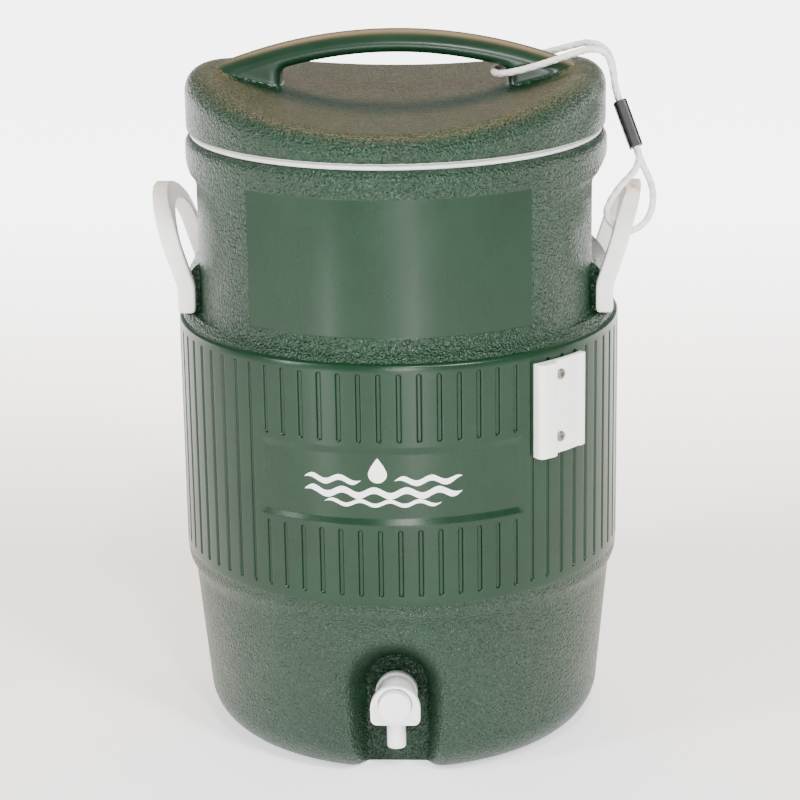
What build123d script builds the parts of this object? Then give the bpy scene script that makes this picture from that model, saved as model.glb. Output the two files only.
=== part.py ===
from build123d import *
import math
import os

# Five-gallon insulated drinking-water jug with a lift-off lid, two carrying bails,
# a push-button spigot, a cup-dispenser bracket and a lid tether.
# Millimetres, +Z up, spigot towards -Y, origin on the floor on the jug's axis.

# ---- driving dimensions -------------------------------------------------------------
SHELL_WALL = 3.0                # moulded wall of the outer shell and the lid skin
LINER_WALL = 2.5

FOOT_RADIUS = 110.4             # flat foot ring under the base
BASE_EDGE_RADIUS = 28.8
BASE_RECESS_RADIUS = 90.0
BASE_RECESS_DEPTH = 4.0
LOWER_RADIUS = 147.0            # top of the tapered lower wall
LOWER_TOP = 113.0
BAND_RADIUS = 152.5
BAND_BOTTOM = 133.2
BAND_TOP = 298.9
BAND_STEP = 0.5                 # the ribbed band stands proud of the grained wall
SHOULDER_RADIUS = 147.0
SHOULDER_TOP = 303.5
WALL_RADIUS = 144.0             # upper wall, front and back
WALL_START = 312.0
BEAD_TOP = 423.4
BEAD_EDGE_RADIUS = 6.0

SIDE_ARC_RADIUS = 169.2         # flattened sides behind the bails
SIDE_ARC_OFFSET = 30.6
SIDE_FLAT = 133.0               # distance of the flat between a bail's arms from the axis
POCKET_FLOOR = 305.2
POCKET_ROOF = 397.0
POCKET_ROOF_RISE = 11.0         # the roof slopes out at 45 degrees to the bead
POCKET_ROOF_ROUND = 8.0
POCKET_FLOOR_ROUND = 4.0

GROOVE_COUNT = 72
GROOVE_WIDTH = 3.4
GROOVE_DEPTH = 1.7
GROOVE_BOTTOM = 139.3
GROOVE_TOP = 292.5
PLATE_HALF_ANGLE = 35.0         # nameplate on the band
PLATE_BOTTOM = 189.4
PLATE_TOP = 242.6
PLATE_BEVEL = 4.5
PLATE_DEPTH = 1.2
PLATE_GROOVE_GAP = 3.5

NICHE_WALL = 104.0              # distance of the niche's flat back wall from the axis
NICHE_HALF = 21.0
NICHE_ARCH_HEIGHT = 58.0
NICHE_MOUTH = 150.0
NICHE_MOUTH_HALF = 37.5
NICHE_MOUTH_ARCH_HEIGHT = 73.0

LINER_TOP_RADIUS = 124.5        # inside of the neck
LINER_BOTTOM_RADIUS = 120.5
LINER_FLOOR = 37.0
LINER_CORNER = 20.0
LINER_FLAT = 94.0               # inside flat behind the spigot
RIM_RADIUS = 140.6
RIM_HEIGHT = 3.2

LID_RADIUS = 143.1
LID_BOTTOM = 427.4
LID_CENTRE_TOP = 445.0
LID_END_RISE = 29.0             # how much the saddle rises from the centre to the rim
LID_RIM_ROUND = 14.0
PLUG_RADIUS = 123.0
PLUG_BOTTOM = 401.0

HANDLE_TOP = 492.0
HANDLE_ARC_RADIUS = 325.0
HANDLE_END = 128.0
HANDLE_HOLE_TOP = 477.3
HANDLE_HOLE_ARC_RADIUS = 280.0
HANDLE_HOLE_HALF = 77.0
HANDLE_HALF_DEPTH = 15.0
HANDLE_CROWN_RADIUS = 17.5
HANDLE_CORNER = 6.0
HANDLE_EDGE_ROUND = 5.0

BOSS_HALF = 43.5                # pivot boss between the two arms of a bail
BOSS_INNER = 120.0
BOSS_OUTER = 147.5
BOSS_TOP = 339.0
BOSS_REACH = 149.5              # the boss stays inside this radius
PIVOT_X = 141.7
PIVOT_Z = 317.0
PIVOT_RADIUS = 3.0
PIVOT_CLEARANCE = 0.05
PIN_INNER_END = 24.0
ARM_INNER = 44.0
ARM_OUTER = 52.0
PIN_OUTER_END = 50.0
BAIL_FOOT = 306.3
BAIL_CROWN = 386.0
BAIL_BAR_HEIGHT = 12.0
BAIL_SPRINGING = 347.0          # where the arms start to bend into the grip
STRAP_HALF = 5.8                # half the width of a bail arm seen from the front
STRAP_BEND = 14.0

SPIGOT_HEIGHT = 53.4
SHANK_RADIUS = 9.2
COLLAR_RADIUS = 14.5
BARREL_RADIUS = 13.0
BARREL_FRONT = 127.0
WING_FRONT = 132.0
WING_HALF = 17.0
WING_BOTTOM = 38.0
WING_SHOULDER = 48.4            # where the arch over the wings starts
WING_TOP = 67.0
WING_ROUND = 5.0
WATER_BORE = 5.0
BUTTON_BORE = 11.5
BUTTON_RADIUS = 11.2
BUTTON_FRONT = 138.0
CHAMBER_FLOOR = 126.5
GUIDE_BACK = 124.3
SPOUT_Y = 119.0
SPOUT_RADIUS = 6.5
SPOUT_BORE = 4.6
SPOUT_END = 18.0
SPOUT_SHOULDER = 37.0
SPOUT_SHOULDER_RADIUS = 7.6
SEAT_Y = 97.0
SEAT_BORE = 7.0
STEM_RADIUS = 2.0
NUT_ACROSS_FLATS = 27.0
SHANK_END = 80.0

BRACKET_START = 37.8            # degrees round from the front towards +X
BRACKET_END = 54.6
BRACKET_BOTTOM = 226.0
BRACKET_TOP = 290.5
BRACKET_THICKNESS = 3.6
BRACKET_RAIL_END = 43.6
BRACKET_RAIL_THICKNESS = 8.6
BRACKET_LIP_START = 52.8
BRACKET_LIP_THICKNESS = 4.8
SCREW_ANGLE = 45.5
SCREW_HEIGHTS = (280.5, 237.5)
SCREW_HEAD_RADIUS = 3.5
SCREW_SHANK_RADIUS = 1.7

CORD_DIAMETER = 4.8
CLAMP_TOP = (152.0, -11.5, 443.0)
CLAMP_BOTTOM = (163.0, -22.0, 414.0)
CLAMP_WIDTH = 9.0
CLAMP_DEPTH = 13.0
CLAMP_ROUND = 2.5

# The upper loop runs from the clamp over the lid's rim, round the right handle leg and back.
UPPER_ROUTE = [
    (152.0, -14.13, 443.95), (148.98, -11.25, 451.92), (147.3, -9.5, 463.5), (144.0, -9.5, 475.5),
    (133.0, -12.0, 479.5), (118.0, -16.0, 475.5), (101.0, -20.5, 470.5), (85.0, -23.5, 466.5),
    (72.5, -19.5, 463.5), (67.0, -7.5, 462.5), (67.3, 6.5, 462.6), (73.0, 18.0, 463.8),
    (85.5, 22.8, 466.8), (102.0, 21.8, 471.0), (119.0, 18.0, 476.0), (132.5, 12.5, 480.0),
    (143.8, 5.0, 476.0), (148.0, -1.2, 465.0), (148.81, -5.82, 450.46), (152.0, -8.87, 442.05),
]
# The lower loop hangs from the clamp round the grip of the right bail.
LOWER_ROUTE = [
    (163.0, -24.63, 414.95), (165.7, -27.2, 407.9), (162.0, -28.6, 398.6), (153.8, -30.0, 390.6),
    (146.8, -31.6, 381.5), (141.5, -31.9, 370.0), (151.6, -31.5, 356.8), (163.4, -33.4, 359.2),
    (171.4, -32.0, 366.6), (174.8, -30.4, 377.5), (173.8, -28.0, 389.5), (167.4, -23.5, 401.5),
    (163.0, -19.37, 413.05),
]


# ---- small helpers ------------------------------------------------------------------
def upright(flat):
    """Stand a flat (x, z) outline up in the XZ plane."""
    return Plane.XZ * flat


def turned(flat):
    """Solid of revolution about Z from a flat (radius, z) outline."""
    return revolve(upright(flat), Axis.Z)


def slab(flat, half_depth):
    """Prism with a flat (x, z) outline, centred on the plane y = 0."""
    return extrude(upright(flat), half_depth, both=True)


def along_y(radius, near, far, x=0.0, z=SPIGOT_HEIGHT):
    """Cylinder along Y between y = -near and y = -far."""
    return Pos(x, -(near + far) / 2, z) * Rot(90, 0, 0) * Cylinder(radius, near - far)


def drum(radius, low, high):
    """Cylinder about the jug's axis between two heights."""
    return Pos(0, 0, (low + high) / 2) * Cylinder(radius, high - low)


def mirrored(shape):
    """The same shape on the other side of the plane x = 0."""
    return mirror(shape, Plane.YZ)


def round_point(radius, angle, z):
    """Point at an angle in degrees round from -Y towards +X."""
    turn = math.radians(angle)
    return (radius * math.sin(turn), -radius * math.cos(turn), z)


def sector(inner, outer, start, end, low, high):
    """Piece of a ring round the jug's axis."""
    angles = (start, (start + end) / 2, end)
    far = [round_point(outer, a, low) for a in angles]
    near = [round_point(inner, a, low) for a in reversed(angles)]
    outline = [ThreePointArc(*far), Line(far[2], near[0]), ThreePointArc(*near), Line(near[2], far[0])]
    return extrude(make_face(outline), high - low, dir=(0, 0, 1))


def radial_plane(radius, angle, z):
    """Plane that faces outwards from the jug's axis, its local y pointing up."""
    outwards = Vector(*round_point(1, angle, 0))
    return Plane(origin=round_point(radius, angle, z), x_dir=outwards.rotate(Axis.Z, 90), z_dir=outwards)


# ---- body ---------------------------------------------------------------------------
def wall_outline(inset):
    """Radial outline of the jug's outside, or of the inside of its wall."""
    slope = (LOWER_RADIUS - FOOT_RADIUS - BASE_EDGE_RADIUS) / (LOWER_TOP - BASE_EDGE_RADIUS)
    lean = math.atan(slope)
    edge = BASE_EDGE_RADIUS - inset
    bottom = (FOOT_RADIUS, inset)
    diagonal = edge * math.sqrt(0.5)
    middle = (FOOT_RADIUS + diagonal, BASE_EDGE_RADIUS - diagonal)
    side = (FOOT_RADIUS + edge * math.cos(lean), BASE_EDGE_RADIUS - edge * math.sin(lean))
    lower = (LOWER_RADIUS - inset, LOWER_TOP)
    grained = (BAND_RADIUS - BAND_STEP - inset, LOWER_TOP + 15)
    band_low = (BAND_RADIUS - inset, BAND_BOTTOM)
    band_high = (BAND_RADIUS - inset, BAND_TOP - 2.5)
    crease = (BAND_RADIUS - 2.6 - inset, BAND_TOP)
    shoulder = (SHOULDER_RADIUS - inset, SHOULDER_TOP)
    wall_low = (WALL_RADIUS - inset, WALL_START)
    bead = (WALL_RADIUS - inset, BEAD_TOP - BEAD_EDGE_RADIUS)
    lip = (WALL_RADIUS - BEAD_EDGE_RADIUS, BEAD_TOP - inset)
    return make_face(
        [
            Polyline((0, BASE_RECESS_DEPTH + inset), (BASE_RECESS_RADIUS - 4, BASE_RECESS_DEPTH + inset),
                     (BASE_RECESS_RADIUS, inset), bottom),
            ThreePointArc(bottom, middle, side),
            Line(side, lower),
            Spline(lower, grained, tangents=[(slope, 1), (0, 1)]),
            Polyline(grained, (grained[0], BAND_BOTTOM), band_low, band_high),
            Spline(band_high, crease, tangents=[(0, 1), (-1, 0.1)]),
            Spline(crease, shoulder, tangents=[(-0.3, 1), (-1, 0.6)]),
            Spline(shoulder, wall_low, tangents=[(-1, 0.6), (0, 1)]),
            Line(wall_low, bead),
            TangentArc(bead, lip, tangent=(0, 1)),
            Polyline(lip, (0, BEAD_TOP - inset), (0, BASE_RECESS_DEPTH + inset)),
        ]
    )


def side_pocket(inset):
    """What the flattened side behind a bail takes away: a ring about an offset axis and a flat."""
    def outline(wall):
        floor = POCKET_FLOOR - inset
        roof = POCKET_ROOF
        top = roof + POCKET_ROOF_RISE
        face = make_face(
            Polyline((wall, floor), (wall + 60, floor), (wall + 60, top), (wall + POCKET_ROOF_RISE, top),
                     (wall, roof), close=True)
        )
        inner = face.vertices().filter_by(lambda v: v.X < wall + 1).sort_by(Axis.Y)
        face = fillet(inner[-1], POCKET_ROOF_ROUND)
        return fillet(face.vertices().sort_by(Axis.X)[0], POCKET_FLOOR_ROUND)

    centre = -SIDE_ARC_OFFSET
    arc = upright(Pos(centre, 0, 0) * outline(SIDE_ARC_RADIUS - inset))
    pocket = revolve(arc, Axis((centre, 0, 0), (0, 0, 1))) + slab(outline(SIDE_FLAT - inset), 70)
    return pocket + mirrored(pocket)


def arch_face(half, arch_height, y, low=-5.0):
    """Arch-topped upright face at y = -y."""
    top = arch_height + half
    outline = make_face(
        [
            Polyline((-half, arch_height), (-half, low), (half, low), (half, arch_height)),
            ThreePointArc((half, arch_height), (0, top), (-half, arch_height)),
        ]
    )
    return Pos(0, -y, 0) * upright(outline)


def niche(inset):
    """Hollow in front of the spigot, wider towards its mouth."""
    back = arch_face(NICHE_HALF + inset, NICHE_ARCH_HEIGHT, NICHE_WALL - inset)
    mouth = arch_face(NICHE_MOUTH_HALF + inset, NICHE_MOUTH_ARCH_HEIGHT, NICHE_MOUTH + 5)
    return loft([back, mouth])


def groove(angle, low, high):
    """Upright round-ended groove in the band."""
    place = radial_plane(BAND_RADIUS - GROOVE_DEPTH, angle, (low + high) / 2)
    return extrude(place * SlotOverall(high - low, GROOVE_WIDTH, rotation=90), GROOVE_DEPTH + 2)


def grooves():
    pitch = 360 / GROOVE_COUNT
    cuts = []
    for index in range(GROOVE_COUNT):
        angle = (index + 0.5) * pitch
        turn = (angle + 180) % 360 - 180
        if abs(turn) < PLATE_HALF_ANGLE:
            cuts.append(groove(angle, GROOVE_BOTTOM, PLATE_BOTTOM - PLATE_GROOVE_GAP))
            cuts.append(groove(angle, PLATE_TOP + PLATE_GROOVE_GAP, GROOVE_TOP))
        else:
            cuts.append(groove(angle, GROOVE_BOTTOM, GROOVE_TOP))
    return cuts


def foam_space():
    """Everything inside the shell's wall."""
    return turned(wall_outline(SHELL_WALL)) - side_pocket(SHELL_WALL) - niche(SHELL_WALL)


def pivot_boss():
    """Block between the arms of the right bail, still running through the wall."""
    outline = make_face(
        Polyline((BOSS_INNER, POCKET_FLOOR - 3), (BOSS_OUTER, POCKET_FLOOR - 3), (BOSS_OUTER, 322),
                 (145.5, 327), (134.5, BOSS_TOP), (BOSS_INNER, BOSS_TOP), close=True)
    )
    return slab(outline, BOSS_HALF) & drum(BOSS_REACH, POCKET_FLOOR - 5, POCKET_ROOF)


def pin_bores(radius, near, far):
    """Two cylinders on the right bail's pivot axis, one each side."""
    one = along_y(radius, far, near, PIVOT_X, PIVOT_Z)
    return [one, mirror(one, Plane.XZ)]


def screw_bores(radius, inner, outer):
    """Cylinders at the bracket screws, pointing at the jug's axis."""
    return [
        extrude(radial_plane(inner, SCREW_ANGLE, z) * Circle(radius), outer - inner) for z in SCREW_HEIGHTS
    ]


def outer_shell(inside):
    bosses = pivot_boss() + mirrored(pivot_boss())
    shell = turned(wall_outline(0)) - side_pocket(0) - niche(0) + bosses
    shell -= inside
    shell -= drum(LINER_TOP_RADIUS + LINER_WALL, BEAD_TOP - 2 * SHELL_WALL, BEAD_TOP + 1)
    plate_bottom = PLATE_BOTTOM + PLATE_BEVEL
    plate_top = PLATE_TOP - PLATE_BEVEL
    plate_angle = PLATE_HALF_ANGLE - math.degrees(PLATE_BEVEL / BAND_RADIUS)
    shell -= sector(BAND_RADIUS - PLATE_DEPTH, BAND_RADIUS + 2, -plate_angle, plate_angle,
                    plate_bottom, plate_top)
    shell -= grooves()
    shell -= along_y(SHANK_RADIUS, NICHE_WALL + 5, NICHE_WALL - SHELL_WALL - 5)
    for bore in pin_bores(PIVOT_RADIUS, PIN_INNER_END, BOSS_HALF + 1):
        shell = shell - bore - mirrored(bore)
    return shell - screw_bores(SCREW_SHANK_RADIUS, BAND_RADIUS - 12, BAND_RADIUS + 1)


def liner_space(wall):
    """The water space, or the outside of the liner when wall is its thickness."""
    top = (LINER_TOP_RADIUS + wall, BEAD_TOP)
    low = (LINER_BOTTOM_RADIUS + wall, LINER_FLOOR + LINER_CORNER)
    corner = LINER_CORNER + wall
    bottom = (LINER_BOTTOM_RADIUS - LINER_CORNER, LINER_FLOOR - wall)
    shape = turned(
        make_face(
            [
                Polyline((0, BEAD_TOP), top, low),
                RadiusArc(low, bottom, corner),
                Polyline(bottom, (0, LINER_FLOOR - wall), (0, BEAD_TOP)),
            ]
        )
    )
    flat = arch_face(NICHE_HALF + 16 - wall, NICHE_ARCH_HEIGHT + 6, LINER_FLAT + wall, low=0)
    return shape - extrude(flat, 60, dir=(0, -1, 0))


def inner_liner():
    rim = drum(RIM_RADIUS, BEAD_TOP, BEAD_TOP + RIM_HEIGHT)
    rim = fillet(rim.edges().filter_by(GeomType.CIRCLE), 1.2)
    mouth = drum(LINER_TOP_RADIUS, BEAD_TOP - 1, BEAD_TOP + RIM_HEIGHT + 1)
    return liner_space(LINER_WALL) + rim - liner_space(0) - mouth - along_y(SHANK_RADIUS, NICHE_WALL, 80)


def foam_insulation(inside):
    foam = inside - liner_space(LINER_WALL) - along_y(SHANK_RADIUS, NICHE_WALL, 80)
    return foam - screw_bores(SCREW_SHANK_RADIUS, BAND_RADIUS - 9, BAND_RADIUS + 1)


# ---- lid ----------------------------------------------------------------------------
def saddle(drop, radius, rim_round):
    """Everything under the lid's saddle-shaped top, out to a radius, with a rounded rim."""
    end = LID_RADIUS
    middle = LID_CENTRE_TOP - drop
    rim_top = middle + LID_END_RISE
    outline = make_face(
        [
            ThreePointArc((-end, rim_top), (0, middle), (end, rim_top)),
            Polyline((end, rim_top), (end, LID_BOTTOM), (-end, LID_BOTTOM), (-end, rim_top)),
        ]
    )
    cover = slab(outline, LID_RADIUS + 5) & drum(radius, LID_BOTTOM, HANDLE_TOP)
    rim = cover.edges().filter_by(lambda e: e.center().Z > LID_BOTTOM + 2 and e.length > 100)
    return fillet(rim, rim_round)


def handle_arch():
    """Arched grip across the lid, with rounded inner edges and a crowned top."""
    def arc_height(top, radius, x):
        return top - radius + math.sqrt(radius**2 - x**2)

    end = (HANDLE_END, arc_height(HANDLE_TOP, HANDLE_ARC_RADIUS, HANDLE_END))
    hole = (HANDLE_HOLE_HALF, arc_height(HANDLE_HOLE_TOP, HANDLE_HOLE_ARC_RADIUS, HANDLE_HOLE_HALF))
    foot = LID_CENTRE_TOP - 2
    outside = make_face(
        [
            ThreePointArc((-end[0], end[1]), (0, HANDLE_TOP), end),
            Polyline(end, (end[0], foot), (-end[0], foot), (-end[0], end[1])),
        ]
    )
    opening = make_face(
        [
            ThreePointArc((-hole[0], hole[1]), (0, HANDLE_HOLE_TOP), hole),
            Polyline(hole, (hole[0], foot - 5), (-hole[0], foot - 5), (-hole[0], hole[1])),
        ]
    )
    opening = fillet(opening.vertices().sort_by(Axis.Y)[2:], HANDLE_CORNER)
    arch = slab(outside - opening, HANDLE_HALF_DEPTH)
    inner_edges = arch.edges().filter_by(lambda e: e.center().Z > foot + 1 and abs(e.center().Y) > 14
                                         and e.center().Z < HANDLE_HOLE_TOP + 1
                                         and abs(e.center().X) < HANDLE_HOLE_HALF + 1)
    arch = fillet(inner_edges, HANDLE_EDGE_ROUND)
    crown_centre = HANDLE_ARC_RADIUS - HANDLE_CROWN_RADIUS
    edge = crown_centre + math.sqrt(HANDLE_CROWN_RADIUS**2 - HANDLE_HALF_DEPTH**2)
    base = HANDLE_TOP - HANDLE_ARC_RADIUS
    crown = make_face(
        [
            ThreePointArc((0, -HANDLE_HALF_DEPTH, base + edge), (0, 0, HANDLE_TOP),
                          (0, HANDLE_HALF_DEPTH, base + edge)),
            Polyline((0, HANDLE_HALF_DEPTH, base + edge), (0, HANDLE_HALF_DEPTH, base + 200),
                     (0, -HANDLE_HALF_DEPTH, base + 200), (0, -HANDLE_HALF_DEPTH, base + edge)),
        ]
    )
    return arch & revolve(crown, Axis((0, 0, base), (0, 1, 0)))


def lid_space():
    """The inside of the lid's skin."""
    return saddle(SHELL_WALL, LID_RADIUS - SHELL_WALL, LID_RIM_ROUND - SHELL_WALL)


def lid_shell():
    cover = saddle(0, LID_RADIUS, LID_RIM_ROUND)
    return cover + handle_arch() - lid_space()


def lid_liner():
    flange = drum(LID_RADIUS - SHELL_WALL, LID_BOTTOM - 0.4, LID_BOTTOM + LINER_WALL - 0.4)
    plug = drum(PLUG_RADIUS, PLUG_BOTTOM, LID_BOTTOM)
    plug = fillet(plug.edges().sort_by(Axis.Z)[0], 4)
    return flange + plug - drum(PLUG_RADIUS - LINER_WALL, PLUG_BOTTOM + LINER_WALL, LID_BOTTOM + LINER_WALL)


def lid_foam():
    upper = lid_space()
    upper -= drum(LID_RADIUS, LID_BOTTOM - 1, LID_BOTTOM + LINER_WALL - 0.4)
    plug = drum(PLUG_RADIUS - LINER_WALL, PLUG_BOTTOM + LINER_WALL, LID_BOTTOM + LINER_WALL)
    return upper + plug


# ---- bails --------------------------------------------------------------------------
def half_oval(half, crown, low):
    """Tall arch-topped face: half an ellipse above straight legs."""
    top = Pos(0, BAIL_SPRINGING) * Ellipse(half, crown - BAIL_SPRINGING)
    legs = Pos(0, (BAIL_SPRINGING + low) / 2) * Rectangle(2 * half, BAIL_SPRINGING - low)
    return top + legs


def right_bail():
    inner = PIVOT_X - STRAP_HALF
    outer = PIVOT_X + STRAP_HALF
    over = BAIL_CROWN + 2
    side = make_face(
        Polyline((inner, BAIL_FOOT), (outer, BAIL_FOOT), (outer, 324), (160.8, 365.6), (168.6, over),
                 (158.0, over), (149.6, 369.4), (inner, 326), close=True)
    )
    bends = [v for v in side.vertices() if 320 < v.Y < 375]
    side = fillet(bends, STRAP_BEND)
    ends = [v for v in side.vertices() if v.Y < BAIL_FOOT + 1 or v.Y > BAIL_CROWN + 1]
    side = fillet(ends, 2.5)
    strap = slab(side, ARM_OUTER)
    arch = half_oval(ARM_OUTER, BAIL_CROWN, 300) - half_oval(ARM_INNER, BAIL_CROWN - BAIL_BAR_HEIGHT, 299)
    frame = extrude(Pos(PIVOT_X - 20, 0, 0) * (Plane.YZ * arch), 60, dir=(1, 0, 0))
    bail = strap & frame
    for bore in pin_bores(PIVOT_RADIUS + PIVOT_CLEARANCE, ARM_INNER - 1, PIN_OUTER_END + 0.2):
        bail -= bore
    return bail


def right_pivot_pins():
    return Compound(pin_bores(PIVOT_RADIUS, PIN_INNER_END, PIN_OUTER_END))


# ---- spigot -------------------------------------------------------------------------
def spout_tube(radius, low):
    """Upright cylinder on the spout's axis, from a height up to the spigot's axis."""
    return Pos(0, -SPOUT_Y, (SPIGOT_HEIGHT + low) / 2) * Cylinder(radius, SPIGOT_HEIGHT - low)


def spigot_body():
    left = (-WING_HALF, WING_SHOULDER)
    right = (WING_HALF, WING_SHOULDER)
    wings = make_face(
        [
            Polyline(left, (-WING_HALF, WING_BOTTOM), (WING_HALF, WING_BOTTOM), right),
            ThreePointArc(right, (0, WING_TOP), left),
        ]
    )
    wings = fillet([v for v in wings.vertices() if v.Y < WING_BOTTOM + 1], WING_ROUND)
    plate = extrude(Pos(0, -BARREL_FRONT, 0) * upright(wings), WING_FRONT - BARREL_FRONT, dir=(0, -1, 0))
    collar = along_y(COLLAR_RADIUS, NICHE_WALL + 7, NICHE_WALL + 1.2)
    collar = fillet(collar.edges().sort_by(Axis.Y)[0], 1.5)
    body = plate + collar + along_y(BARREL_RADIUS, BARREL_FRONT + 1, NICHE_WALL + 2)
    body += along_y(SHANK_RADIUS, NICHE_WALL + 2, SHANK_END)
    body += spout_tube(SPOUT_SHOULDER_RADIUS, SPOUT_SHOULDER) + spout_tube(SPOUT_RADIUS, SPOUT_END)
    body -= along_y(BUTTON_BORE, WING_FRONT + 1, CHAMBER_FLOOR)
    body -= along_y(STEM_RADIUS + PIVOT_CLEARANCE, CHAMBER_FLOOR + 1, GUIDE_BACK - 1)
    body -= along_y(WATER_BORE, GUIDE_BACK, SEAT_Y - 1)
    body -= along_y(SEAT_BORE, SEAT_Y, SHANK_END - 1)
    return body - spout_tube(SPOUT_BORE, SPOUT_END - 1)


def spigot_button():
    button = along_y(BUTTON_RADIUS, BUTTON_FRONT, WING_FRONT - 0.3)
    button = fillet(button.edges().sort_by(Axis.Y)[0], 1.2)
    return button - along_y(BUTTON_RADIUS - 1.8, BUTTON_FRONT - 2, WING_FRONT - 2)


def spigot_stem():
    rod = along_y(STEM_RADIUS, BUTTON_FRONT - 2, SEAT_Y - 5)
    return rod + along_y(4.0, SEAT_Y - 3, SEAT_Y - 5)


def spigot_valve_seal():
    seal = along_y(SEAT_BORE - 0.8, SEAT_Y - 0.05, SEAT_Y - 3)
    return seal - along_y(STEM_RADIUS, SEAT_Y + 1, SEAT_Y - 4)


def spigot_spring():
    wire = 0.45
    turns = 4
    start = CHAMBER_FLOOR + wire + 0.05
    length = BUTTON_FRONT - 2 - wire - 0.15 - start
    path = Helix(length / turns, length, 6.0, center=(0, -start, SPIGOT_HEIGHT), direction=(0, -1, 0))
    section = Plane(origin=path @ 0, z_dir=path % 0) * Circle(wire)
    return sweep(section, path, is_frenet=True)


def washer(outer, near, far):
    return along_y(outer, near, far) - along_y(SHANK_RADIUS, near + 1, far - 1)


def spigot_nut():
    flat = RegularPolygon(NUT_ACROSS_FLATS / 2, 6, major_radius=False)
    back = LINER_FLAT - 2
    nut = extrude(Pos(0, -back, SPIGOT_HEIGHT) * upright(flat), 8, dir=(0, 1, 0))
    return nut - along_y(SHANK_RADIUS, back + 1, back - 9)


# ---- cup-dispenser bracket ----------------------------------------------------------
def cup_bracket():
    outside = BAND_RADIUS
    plate = sector(outside, outside + BRACKET_THICKNESS, BRACKET_START, BRACKET_END,
                   BRACKET_BOTTOM, BRACKET_TOP)
    rail = sector(outside, outside + BRACKET_RAIL_THICKNESS, BRACKET_START, BRACKET_RAIL_END,
                  BRACKET_BOTTOM, BRACKET_TOP)
    upright_edges = rail.edges().filter_by(Axis.Z)
    outer_edges = [e for e in upright_edges if math.hypot(e.center().X, e.center().Y) > outside + 4]
    rail = fillet(outer_edges, 4)
    lip = sector(outside, outside + BRACKET_LIP_THICKNESS, BRACKET_LIP_START, BRACKET_END,
                 BRACKET_BOTTOM, BRACKET_TOP)
    bracket = plate + rail + lip
    return bracket - screw_bores(SCREW_SHANK_RADIUS, outside - 1, outside + 10)


def bracket_screws():
    screws = []
    for height in SCREW_HEIGHTS:
        seat = BAND_RADIUS + BRACKET_THICKNESS
        head = extrude(radial_plane(seat, SCREW_ANGLE, height) * Circle(SCREW_HEAD_RADIUS), 1.6)
        head = fillet(head.edges().filter_by(GeomType.CIRCLE).sort_by(lambda e: -e.center().X)[0], 0.8)
        shank = extrude(radial_plane(BAND_RADIUS - 9, SCREW_ANGLE, height) * Circle(SCREW_SHANK_RADIUS),
                        BRACKET_THICKNESS + 9.5)
        slots = radial_plane(seat + 0.7, SCREW_ANGLE, height) * (Rectangle(3.6, 0.8) + Rectangle(0.8, 3.6))
        screws.append(head + shank - extrude(slots, 2))
    return Compound(screws)


# ---- tether -------------------------------------------------------------------------
def corner_radii(points):
    """Arc at each corner, as large as its two runs allow."""
    radii = []
    for before, here, after in zip(points, points[1:], points[2:]):
        first = Vector(*here) - Vector(*before)
        second = Vector(*after) - Vector(*here)
        half_turn = math.radians(first.get_angle(second)) / 2
        radii.append(0.45 * min(first.length, second.length) / math.tan(half_turn))
    return radii


def cord(name, points):
    radii = corner_radii(points)
    path = FilletPolyline(*points, radius=radii)
    tube = sweep(Plane(origin=path @ 0, z_dir=path % 0) * Circle(CORD_DIAMETER / 2), path)
    expected = math.pi * CORD_DIAMETER**2 / 4 * path.length
    print(name, "length", round(path.length, 1), "volume ratio", round(tube.volume / expected, 4),
          "radii", [round(r, 1) for r in radii])
    return tube


def tether_clamp():
    top = Vector(*CLAMP_TOP)
    bottom = Vector(*CLAMP_BOTTOM)
    along = (top - bottom).normalized()
    across = (Vector(1, 0, 0) - along * along.X).normalized()
    place = Plane(origin=(top + bottom) / 2, x_dir=across, z_dir=along)
    block = Box(CLAMP_WIDTH, CLAMP_DEPTH, (top - bottom).length)
    return place * fillet(block.edges().filter_by(Axis.Z), CLAMP_ROUND)


# ---- write every piece --------------------------------------------------------------
inside = foam_space()
bail = right_bail()
pins = right_pivot_pins()
pieces = {
    "outer_shell": outer_shell(inside),
    "foam_insulation": foam_insulation(inside),
    "inner_liner": inner_liner(),
    "lid_shell": lid_shell(),
    "lid_foam": lid_foam(),
    "lid_liner": lid_liner(),
    "right_bail": bail,
    "left_bail": mirrored(bail),
    "right_pivot_pins": pins,
    "left_pivot_pins": Compound([mirrored(pin) for pin in pins.solids()]),
    "spigot_body": spigot_body(),
    "spigot_button": spigot_button(),
    "spigot_stem": spigot_stem(),
    "spigot_spring": spigot_spring(),
    "spigot_valve_seal": spigot_valve_seal(),
    "spigot_outer_gasket": washer(SHANK_RADIUS + 4.3, NICHE_WALL + 1.2, NICHE_WALL),
    "spigot_inner_gasket": washer(SHANK_RADIUS + 4.3, LINER_FLAT, LINER_FLAT - 2),
    "spigot_nut": spigot_nut(),
    "cup_bracket": cup_bracket(),
    "bracket_screws": bracket_screws(),
    "tether_upper": cord("tether_upper", UPPER_ROUTE),
    "tether_lower": cord("tether_lower", LOWER_ROUTE),
    "tether_clamp": tether_clamp(),
}

os.makedirs("parts", exist_ok=True)
for name, piece in pieces.items():
    export_step(piece, os.path.join("parts", name + ".step"))
    print(name, round(piece.volume / 1000, 2), "cm3")
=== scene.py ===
"""Looks of a five-gallon insulated drinking-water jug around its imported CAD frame."""

import math

import bmesh
import bpy
import numpy as np
from mathutils import Matrix, Vector


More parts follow.
